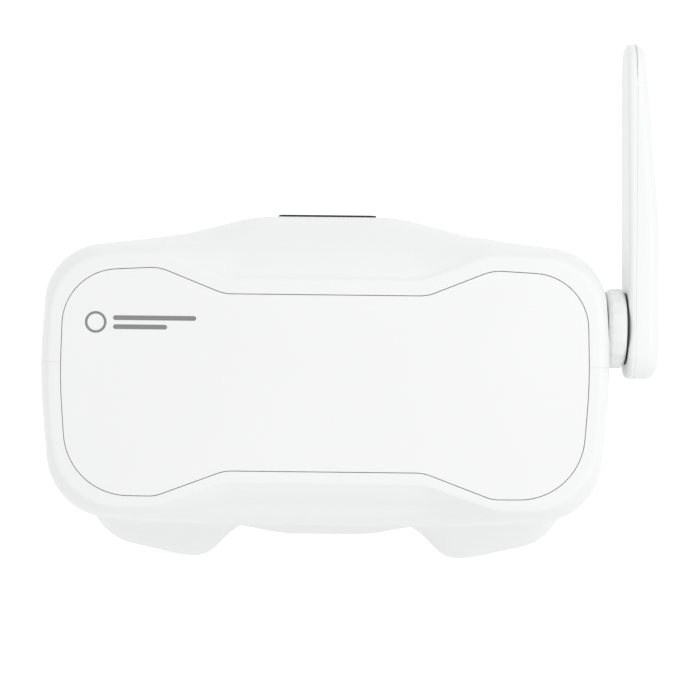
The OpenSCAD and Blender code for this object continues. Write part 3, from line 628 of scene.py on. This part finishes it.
# Widths to which the edges of some of those nodes are eased
EASED_NODES = {
    "lens_retainer": 0.5, "lens_plate": 0.2, "strap_loop_left": 0.6, "strap_loop_right": 0.6,
    "strap_loop_top": 0.6, "memory_card": 0.15, "charge_port": 0.1, "av_jack": 0.15,
    "battery_pack": 0.8, "receiver_module": 0.3, "video_chips": 0.1, "battery_plug": 0.3,
    "battery_tray": 0.3, "display_bracket": 0.2, "frame_screws": 0.15, "lens_screws": 0.12,
    "seam_screws": 0.12, "board_screws": 0.12, "backlight": 0.2, "antenna_washer": 0.08,
}


def dress_cad_nodes():
    """Materials and eased edges for the CAD nodes whose shapes stay."""
    for name, material in CAD_MATERIALS.items():
        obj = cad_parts[name]
        if not obj.data.materials:
            obj.data.materials.append(material)
        for slot in obj.material_slots:
            slot.material = material
        obj.data.polygons.foreach_set("use_smooth", [True] * len(obj.data.polygons))
        obj.data.set_sharp_from_angle(angle=math.radians(30))
        if name in EASED_NODES:
            eased(obj, EASED_NODES[name])


# ---------------------------------------------------------------- front panel and housing


def edge_rings(ring, side):
    """Rings that round the front edge of an outline: side is 1 for a solid, -1 round an opening."""
    return [at(PANEL_EDGE * (1 - math.sin(a)), inset(ring, side * PANEL_EDGE * (1 - math.cos(a))))
            for a in np.radians([0, 30, 60, 90])]


def front_panel():
    """The flat panel: its front edge is rounded, and the posts for the board stand behind it."""
    ring = outline(PANEL)
    obj = capped("front_panel_shell", [at(PANEL_T, ring), *edge_rings(ring, 1)])
    back, post_r, post_end = PANEL_T - 0.1, 2.6, 11.98
    rib_x, rib_z, rib_end = 60, 19, 4.4
    supports = []
    for sx in (1, -1):
        for sz in (1, -1):
            post = (sx * BOARD_POST[0], sz * BOARD_POST[1])
            supports.append(bar("post", 1, post, post_r, back, post_end))
            x, z = sx * rib_x, sz * rib_z
            supports.append(block("rib", (x - 3, back, z - 1), (x + 3, rib_end, z + 1)))
    combine(obj, supports, "UNION")
    made(shaded(obj), BODY_NAME, "panel_plastic", PANEL_WHITE, "front_panel")


def housing_skin():
    """The housing as one shell, before the seam divides it."""
    opening = inset(outline(PANEL), -PANEL_GAP)
    ledge = inset(outline(PANEL), 3)
    ledge_y = PANEL_T + 0.1
    bezel = outline(BEZEL)
    shoulder = outline(SHOULDER)
    body = outline(BODY)
    hip = outline(mix_rows(SHOULDER, BODY, 0.6))
    rim = [at(0, inset(bezel, 1.7)), at(0.24, inset(bezel, 0.8)), at(1.0, inset(bezel, 0.1))]
    rise = [at(y, outline(mix_rows(BEZEL, SHOULDER, share))) for y, share in ((2.4, 0.27), (4.8, 0.66))]
    slope = skin([*rim, *rise, at(8, shoulder), at(13, hip), at(FULL_Y, body)], 5)
    side = [at(y, body) for y in (24, 28, 32, 36)]
    back = skin([at(40, body), at(HOUSING_Y - 0.7, inset(body, 0.3)), at(HOUSING_Y, inset(body, 1))], 3)
    inner = [*[at(y, inset(body, WALL)) for y in (HOUSING_Y, 31, FULL_Y)], at(14, inset(hip, WALL)),
             at(9.6, inset(shoulder, WALL - 0.2)), at(5.4, inset(bezel, WALL - 0.4)), at(4.4, ledge),
             at(ledge_y, ledge), at(ledge_y, opening)]
    return loft("housing", [*edge_rings(opening, -1), *slope, *side, *back, *inner])


def housing_cutters():
    """Solids for the recess, bores, slots and holes in the side walls."""
    pivot = (PIVOT_Y, PIVOT_Z)
    start, end = RIGHT_WALL
    y, z = CARD
    return [bar("recess", 0, pivot, COLLAR_R + 0.6, SEAT_X, 90, 96),
            bar("bushing", 0, pivot, BUSHING_R + 0.05, 70, 90),
            bar("jack", 0, JACK, 3.1, start, end),
            prism("usb", round_rect(USB, (3.6, 9.4), 1.7), 0, start, end),
            block("card", (start, y - 0.7, z - 5.8), (end, y + 0.7, z + 5.8)),
            bar("thumb", 1, (start - 1.2, z), 6, y - 4.5, y + 4.5, 64),
            bar("light", 0, LIGHT, 1.1, start, end)]


def strip_cutters():
    """Solids for the control strip's pocket and the button holes under it."""
    size = (STRIP_W + 0.2, STRIP_Y[1] - STRIP_Y[0] + 0.2)
    pocket = prism("pocket", round_rect((0, BUTTON_Y), size, 1.6), 2, STRIP_FLOOR, 60)
    return [pocket, *button_cutters()]


def button_cutters():
    """Solids for the five button holes, with play around each cap."""
    size = [s + 2 * BUTTON_PLAY for s in BUTTON_SIZE]
    radius = BUTTON_CORNER + BUTTON_PLAY
    return [prism("hole", round_rect((k * BUTTON_PITCH, BUTTON_Y), size, radius), 2, 40, 60)
            for k in range(-2, 3)]


def screw_posts(z):
    """The housing's posts for the face frame's screws at one height."""
    return [bar("post", 1, (x, z), 2.7, 24, HOUSING_Y - 0.2) for x in (FRAME_SCREW_X, -FRAME_SCREW_X)]


def housing():
    """Upper and lower housings, parted at the seam with a fine gap."""
    upper = housing_skin()
    upper.name = "upper_housing_shell"
    combine(upper, housing_cutters())
    lower = copy_of(upper, "lower_housing_shell")
    combine(upper, [block("above", (-90, -5, SEAM_Z + SEAM_GAP), (90, 60, 70))], "INTERSECT")
    combine(lower, [block("below", (-90, -5, -70), (90, 60, SEAM_Z - SEAM_GAP))], "INTERSECT")
    combine(upper, screw_posts(FRAME_SCREW_Z[0]), "UNION")
    combine(lower, screw_posts(FRAME_SCREW_Z[1]), "UNION")
    combine(upper, strip_cutters())
    for obj, node in ((upper, "upper_housing"), (lower, "lower_housing")):
        made(shaded(obj), BODY_NAME, "white_plastic", WHITE, node)


def printed_mark():
    """A plain printed mark on the panel: a ring and two bars, no lettering."""
    low, high = MARK_Y
    inside, outside = [circle(MARK_CENTRE, radius, 64) for radius in MARK_RING]
    obj = loft("printed_mark_ring", [at(low, outside), at(low, inside), at(high, inside), at(high, outside)])
    made(shaded(obj), BODY_NAME, None, INK)
    x, z = MARK_CENTRE
    for k, (rise, length) in enumerate(MARK_BARS):
        pill = round_rect((x + 4.8 + length / 2, z + rise), (length, 1.3), 0.64)
        obj = prism(f"printed_mark_bar_{k + 1}", pill, 1, low, high)
        made(shaded(obj), BODY_NAME, None, INK)


# ---------------------------------------------------------------- face frame and foam


def rear_y(x):
    """Depth of the frame's rear edge, which wraps round the face."""
    return BROW_Y + TEMPLE_WRAP * (np.abs(x) / TEMPLE_X) ** 2


def frame_outline(y):
    """The frame's outline at one of its flat depths, flaring from the housing's."""
    if y < MID_Y:
        return outline(mix_rows(BODY, FRAME_MID, smooth((y - HOUSING_Y) / (MID_Y - HOUSING_Y))))
    return outline(mix_rows(FRAME_MID, FRAME_REAR, FLAT_MIX * ((y - MID_Y) / (FLAT_Y - MID_Y)) ** 1.5))


def frame_rear(t, d, lead):
    """Ring between the last flat one (t = 0) and the rear edge (t = 1), moved forwards by lead."""
    share = mix(FLAT_MIX, 1, math.sin(math.pi / 2 * t))
    ring = inset(outline(mix_rows(FRAME_MID, FRAME_REAR, share)), d)
    return at(mix(FLAT_Y, rear_y(ring[:, 0]) - lead, t), ring)


def on_rear(ring, dy):
    """An outline laid on the frame's curved rear, dy behind it."""
    return at(rear_y(ring[:, 0]) + dy, ring)


def face_frame():
    """The rear frame: a lip inside the housing, a flared wall and a flange for the foam."""
    body, eye = outline(BODY), outline(EYE)
    start = HOUSING_Y + 0.2
    lip, lip_inner = inset(body, LIP_INSET), inset(body, LIP_INSET + LIP_T)
    front = [at(start + 0.02, inset(body, 1.3)), at(start + 0.35, inset(body, 0.75)),
             at(start + 1.2, inset(frame_outline(start + 1), 0.45))]
    flat = [at(y, frame_outline(y)) for y in (46, 50, MID_Y, 58, 62, FLAT_Y)]
    rear = [frame_rear(t, 0, 0) for t in (0.18, 0.36, 0.54, 0.72, 0.86)]
    outer = skin([*front, *flat, *rear, frame_rear(0.95, 0.15, 0), frame_rear(1, 0.9, 0)], 3)
    eased_eye = inset(eye, -0.3)
    flange = [on_rear(eased_eye, 0), on_rear(eye, -0.3), on_rear(eye, -FLANGE_T + 0.3),
              on_rear(eased_eye, -FLANGE_T)]
    inner = [frame_rear(1, WALL + 0.6, FLANGE_T)]
    inner += [frame_rear(t, WALL, FLANGE_T) for t in (0.7, 0.5, 0.35, 0.15)]
    inner += [at(y, inset(frame_outline(y), WALL)) for y in (FLAT_Y, 60, MID_Y, 48)]
    inner += [at(start + 2, lip_inner), at(LIP_Y, lip_inner), at(LIP_Y, lip), at(start + 0.02, lip)]
    obj = loft("face_frame_shell", [*outer, *flange, *inner])

    screws = [(x, z) for x in (FRAME_SCREW_X, -FRAME_SCREW_X) for z in FRAME_SCREW_Z]
    combine(obj, [bar("post", 1, screw, 3, LIP_Y - 1, HOUSING_Y + 0.1) for screw in screws])
    tabs = [block("tab", (x - 4.5, start, z - 2.6), (x + 4.5, start + 2, z + 2.6)) for x, z in screws]
    combine(obj, tabs, "UNION")
    made(shaded(eased(obj, 0.15, 2, 45), 45), BODY_NAME, "white_plastic", WHITE, "face_frame")


def face_foam():
    """The face cushion: a crowned section over its whole ring, with one sewn seam round its outer
    side and the cover puckered beside it."""
    outer, inner = outline(FRAME_REAR), outline(EYE)
    rings = [on_rear(inset(outer, d), y) for d, y in CUSHION_OUTSIDE]
    rings += [on_rear(mix(outer, inner, share), FOAM_T - drop) for share, drop in CUSHION_CREST]
    rings += [on_rear(inset(inner, -d), y) for d, y in CUSHION_INSIDE]
    rings = skin(rings, 3)

    core = on_rear(mix(outer, inner, 0.5), 6)
    stitches = np.sin(np.arange(len(outer)) * 1.9)
    seam, seam_width, seam_pull = 0.17, 0.018, 0.35
    pucker, pucker_width, pucker_pull = 0.22, 0.05, 0.12
    sewn = []
    for k, ring in enumerate(rings):
        share = k / (len(rings) - 1)
        pull = seam_pull * math.exp(-((share - seam) / seam_width) ** 2)
        pull = pull + pucker_pull * math.exp(-((share - pucker) / pucker_width) ** 2) * stitches
        toward = core - ring
        toward /= np.linalg.norm(toward, axis=1)[:, None]
        sewn.append(ring + toward * pull[:, None])
    obj = loft("face_cushion", sewn)
    made(shaded(obj, 60), BODY_NAME, "face_foam", FOAM_COVER, "face_foam")


# ---------------------------------------------------------------- controls


def lid(name, middle, size, radius, shrink, profile):
    """A rounded rectangle built up in Z: profile rows are (height, inset), and the corner radius
    falls by shrink for each millimetre of inset."""
    rings = []
    for z, d in profile:
        flat = round_rect(middle, [s - 2 * d for s in size], max(radius - d * shrink, 0.4))
        rings.append(np.column_stack([flat, np.full(len(flat), z)]))
    return capped(name, rings)


def control_strip():
    """Gloss-black strip let into the crown, with a softened rim and five button holes."""
    profile = [(STRIP_FLOOR + 0.02, 0), (STRIP_TOP - 0.3, 0), (STRIP_TOP - 0.12, 0.08),
               (STRIP_TOP - 0.03, 0.22), (STRIP_TOP, 0.42)]
    size = (STRIP_W, STRIP_Y[1] - STRIP_Y[0])
    obj = lid("control_strip_cover", (0, BUTTON_Y), size, 1.5, 0.8, profile)
    combine(obj, button_cutters())
    made(shaded(eased(obj, 0.08, 1, 50)), BODY_NAME, "strip_black", STRIP_BLACK, "control_strip")


def button(index, name):
    """One push button: a crowned cap through the strip, with a raised bar or dot to feel."""
    middle = ((index - 2) * BUTTON_PITCH, BUTTON_Y)
    flange_top = CROWN_Z - WALL - 0.25
    flange_out = -0.35
    top = BUTTON_TOP
    profile = [(flange_top - 0.8, flange_out), (flange_top, flange_out), (flange_top, 0), (top - 0.35, 0),
               (top - 0.14, 0.1), (top - 0.03, 0.28), (top, 0.55), (top - 0.06, 1.1)]
    obj = lid(name + "_cap", middle, BUTTON_SIZE, BUTTON_CORNER, 0.7, profile)
    plunger = bar("plunger", 2, middle, 1.2, flange_top - 2, flange_top - 0.5, 32)
    low, high = top - 0.5, top + 0.08
    if index == 0:
        feel = bar("feel", 2, middle, 0.7, low, high, 24)
    else:
        length = 2.0 + 0.8 * (index % 2)
        feel = prism("feel", round_rect(middle, (0.6, length), 0.28), 2, low, high)
    combine(obj, [plunger, feel], "UNION")
    slot, material = ("button_red", BUTTON_RED) if index == 0 else ("button_black", BUTTON_BLACK)
    made(shaded(obj), name + "_cap", slot, material, name)


# ---------------------------------------------------------------- antenna


def turned(name, profile, sides, depth_at):
    """A ring about the pivot's axis from (x, radius, share of the rib depth) rows, closed on itself."""
    angle = np.arange(sides) * 2 * math.pi / sides
    rings = []
    for x, radius, share in profile:
        r = radius - share * depth_at(angle)
        y, z = PIVOT_Y + r * np.sin(angle), PIVOT_Z + r * np.cos(angle)
        rings.append(np.column_stack([np.full(sides, float(x)), y, z]))
    return loft(name, rings)


def antenna_collar():
    """The ribbed collar: shallow scallops between its ribs and chamfers at both ends."""
    def scallop(angle):
        place = (angle * COLLAR_RIBS / (2 * math.pi) + 0.5) % 1 - 0.5
        return 0.42 * np.cos(np.clip(place * 2.6, -math.pi / 2, math.pi / 2)) ** 1.2

    bore = BUSHING_R + 0.05
    # Rows of (distance from the end, how far below the full radius, share of the scallops' depth)
    chamfer = [(0, 1.25, 0), (0.08, 1.12, 0), (0.9, 0.3, 0.5), (1.1, 0.12, 0.85), (1.4, 0.02, 1),
               (1.7, 0, 1)]
    near = [(COLLAR_X + x, COLLAR_R - d, share) for x, d, share in chamfer]
    far = [(COLLAR_END - x, COLLAR_R - d, share) for x, d, share in reversed(chamfer)]
    profile = [(COLLAR_X, bore, 0), *near, *far, (COLLAR_END, bore, 0)]
    obj = turned("antenna_collar_ring", profile, COLLAR_RIBS * 16, scallop)
    # The collar's material carries painted shade in its darker white
    made(shaded(obj), ANTENNA, "collar_plastic", COLLAR_WHITE_SHADED, "antenna_collar")


def paddle_outline():
    """The paddle's side outline as (y, z), clockwise from the tip, wide at the base."""
    half = PADDLE_W / 2
    base = PIVOT_Z - PADDLE_DROP
    p = np.array([(0, TIP_Z), (TIP_R, TIP_Z), (half - 0.6, BEND_Z), (half, base + 12), (half, base),
                  (0, base)], float)
    p[:, 0] += PIVOT_Y
    radii = [TIP_R - 0.02, 300, 60, BASE_CORNER_R]
    steps = [20, 8, 6, 16]
    arcs = [corner(p[k], p[k + 1], p[k + 2], radii[k], steps[k]) for k in range(4)]
    starts = [p[0]] + [arc[-1] for arc in arcs]
    ends = [arc[0] for arc in arcs] + [p[5]]
    points = [p[:1]]
    for k, count in enumerate((1, 14, 6, 4, 4)):
        t = np.arange(1, count + 1)[:, None] / (count + 1)
        points.append(mix(starts[k], ends[k], t))
        points.append(arcs[k] if k < 4 else p[5:])
    points = np.concatenate(points)
    mirrored = points[-2:0:-1] * [-1, 1] + [2 * PIVOT_Y, 0]
    return np.concatenate([points, mirrored])


def paddle_back(z):
    """The outer face's X at height z: upright at the base, then leaning in to the tip."""
    low, high = BEND_Z - 14, TIP_Z - TIP_R
    t = np.clip((z - low) / (high - low), 0, 1)
    lean = np.where(t < 0.4, t * t / 0.8, t - 0.2) / 0.8
    return PADDLE_END + (TIP_END - PADDLE_END) * lean


def paddle_back_inside(z):
    """The inside of the outer face."""
    return paddle_back(z) - PADDLE_WALL


def paddle_front(z):
    """The inner face's X at height z: it leans towards the housing above the collar."""
    low, high = PIVOT_Z + COLLAR_R, TIP_Z - TIP_R
    return PADDLE_X - TIP_LEAN * np.clip((z - low) / (high - low), 0, 1)


def paddle_front_inside(z):
    """The inside of the inner face."""
    return paddle_front(z) + PADDLE_WALL


def plane(x):
    """An upright face at x, in the same form."""
    return lambda z: np.full(len(z), x)


def paddle_ring(x_at, d, back=0):
    """The paddle's outline moved inwards by d, at depth x_at(z) less back."""
    ring = inset(paddle_outline(), d)
    return np.column_stack([x_at(ring[:, 1]) - back, ring])


def paddle_cap(x_at, d, shares):
    """Rings from the outline's ring at inset d to the paddle's spine."""
    ring = inset(paddle_outline(), d)
    low, high = PIVOT_Z - PADDLE_DROP + 9, TIP_Z - TIP_R
    spine = np.column_stack([np.full(len(ring), float(PIVOT_Y)), np.clip(ring[:, 1], low, high)])
    flats = [mix(ring, spine, share) for share in shares]
    return [np.column_stack([x_at(flat[:, 1]), flat]) for flat in flats]


# Shares of the way from the outline to the spine, and the angles of a quarter round
TO_SPINE = [0, 0.25, 0.5, 0.75, 1]
QUARTER = np.radians(np.arange(0, 91, 18))


def antenna_inner_shell():
    """The half towards the housing, with a bore for the bushing."""
    wall, radius = PADDLE_WALL, 1.5
    edge = PARTING_X - PARTING_GAP
    rings = paddle_cap(paddle_front, radius, TO_SPINE[::-1])
    rings += [paddle_ring(paddle_front, radius * (1 - math.sin(a)), -radius * (1 - math.cos(a)))
              for a in QUARTER[1:]]
    rings += [paddle_ring(plane(edge - PARTING_EDGE), 0), paddle_ring(plane(edge), PARTING_EDGE),
              paddle_ring(plane(edge), wall), paddle_ring(paddle_front_inside, wall + 0.4)]
    rings += paddle_cap(paddle_front_inside, wall + 0.6, TO_SPINE)
    obj = loft("antenna_inner_half", rings, closed=False)
    combine(obj, [bar("bore", 0, (PIVOT_Y, PIVOT_Z), BUSHING_R + 0.1, 80, 88)])
    made(shaded(obj, 50), ANTENNA, "antenna_plastic", ANTENNA_WHITE, "antenna_inner_shell")


def antenna_outer_shell():
    """The outer half, with a larger rounding round its back."""
    wall, radius = PADDLE_WALL, 3.4
    edge = PARTING_X + PARTING_GAP
    rings = paddle_cap(paddle_back_inside, wall + 1.8, TO_SPINE[::-1])
    rings += [paddle_ring(paddle_back_inside, wall + 0.4, 0.8), paddle_ring(plane(edge), wall),
              paddle_ring(plane(edge), PARTING_EDGE), paddle_ring(plane(edge + PARTING_EDGE), 0)]
    rings += [paddle_ring(paddle_back, radius * (1 - math.cos(a)), radius * (1 - math.sin(a)))
              for a in QUARTER]
    rings += paddle_cap(paddle_back, radius, TO_SPINE)[1:]
    obj = loft("antenna_outer_half", rings, closed=False)
    made(shaded(obj, 50), ANTENNA, "antenna_plastic", ANTENNA_WHITE, "antenna_outer_shell")


# ---------------------------------------------------------------- camera, light and floor

# Brightness of the room below and above the object
ROOM_LOW = 0.91
ROOM_HIGH = 0.885
# The camera's place in millimetres, its lens in millimetres and its turn in degrees
CAMERA_PLACE = (6.9, -582.6, 9.5)
CAMERA_LENS = 108.2
CAMERA_ROLL = 0.64
# The key light's place, size and target in metres, and its power in watts
KEY_PLACE = Vector((0.4, -0.5, 0.14))
KEY_TARGET = Vector((0, 0.03, 0))
KEY_SIZE = 0.6
KEY_POWER = 1.12
# The floor in metres: its height, reach, the depth where it starts to rise and the curve's radius
FLOOR_Z = -0.0556
FLOOR_REACH = 5
FLOOR_BEND_Y = 0.9
FLOOR_BEND_R = 0.5
WALL_TOP = 2.6


def camera():
    """A long lens straight in front, a little above the middle and turned slightly."""
    data = bpy.data.cameras.new("Camera")
    data.sensor_width = 36
    data.lens = CAMERA_LENS
    data.clip_start = 0.01
    data.clip_end = 20
    obj = bpy.data.objects.new("Camera", data)
    level = Matrix.Rotation(math.radians(90), 4, "X")
    turn = level @ Matrix.Rotation(math.radians(CAMERA_ROLL), 4, "Z")
    obj.matrix_world = Matrix.Translation(Vector(CAMERA_PLACE) * MM) @ turn
    bpy.context.scene.collection.objects.link(obj)
    bpy.context.scene.camera = obj


def key_light():
    """A large soft light in front of the object, on the antenna's side."""
    data = bpy.data.lights.new("Key", "AREA")
    data.size = KEY_SIZE
    data.energy = KEY_POWER
    obj = bpy.data.objects.new("Key", data)
    obj.location = KEY_PLACE
    obj.rotation_euler = (KEY_TARGET - KEY_PLACE).to_track_quat("-Z", "Y").to_euler()
    bpy.context.scene.collection.objects.link(obj)


def floor():
    """A pale floor that curves up into the backdrop and gives the object no light of its own."""
    profile = [(-FLOOR_REACH, FLOOR_Z), (FLOOR_BEND_Y, FLOOR_Z)]
    profile += [(FLOOR_BEND_Y + FLOOR_BEND_R * math.sin(a), FLOOR_Z + FLOOR_BEND_R * (1 - math.cos(a)))
                for a in np.radians(range(6, 91, 6))]
    profile.append((FLOOR_BEND_Y + FLOOR_BEND_R, WALL_TOP))
    verts = [(x, y, z) for y, z in profile for x in (-FLOOR_REACH, FLOOR_REACH)]
    faces = [(2 * k, 2 * k + 1, 2 * k + 3, 2 * k + 2) for k in range(len(profile) - 1)]
    mesh = bpy.data.meshes.new("floor")
    mesh.from_pydata(verts, [], faces)
    mesh.polygons.foreach_set("use_smooth", [True] * len(mesh.polygons))
    obj = bpy.data.objects.new("floor", mesh)
    bpy.context.scene.collection.objects.link(obj)
    s = Shader("Floor_paper")
    paper = s.ramp(s.noise(2.5, 2), (0.45, 0.45, 0.45), (0.48, 0.48, 0.48))
    s.link(paper, s.bsdf.inputs["Base Color"])
    s.set(Roughness=0.95, Specular_IOR_Level=0.1, Emission_Color=(1, 1, 1, 1), Emission_Strength=0.86)
    mesh.materials.append(s.material)
    obj.visible_diffuse = False


def room():
    """An even bright room whose brightness changes a little from below to above."""
    world = bpy.data.worlds.new("Room")
    world.use_nodes = True
    tree = world.node_tree
    back = tree.nodes["Background"]
    split = tree.nodes.new("ShaderNodeSeparateXYZ")
    shade = tree.nodes.new("ShaderNodeMapRange")
    shade.inputs["From Min"].default_value = -1
    shade.inputs["To Min"].default_value = ROOM_LOW
    shade.inputs["To Max"].default_value = ROOM_HIGH
    tree.links.new(tree.nodes.new("ShaderNodeTexCoord").outputs["Generated"], split.inputs[0])
    tree.links.new(split.outputs["Z"], shade.inputs["Value"])
    tree.links.new(shade.outputs["Result"], back.inputs["Strength"])
    back.inputs["Color"].default_value = (0.996, 0.998, 1, 1)
    bpy.context.scene.world = world
    bpy.context.scene.view_settings.view_transform = "Standard"


camera()
floor()
room()
key_light()
dress_cad_nodes()
front_panel()
housing()
printed_mark()
face_frame()
face_foam()
control_strip()
for number, node in enumerate(BUTTONS):
    button(number, node)
antenna_collar()
antenna_inner_shell()
antenna_outer_shell()
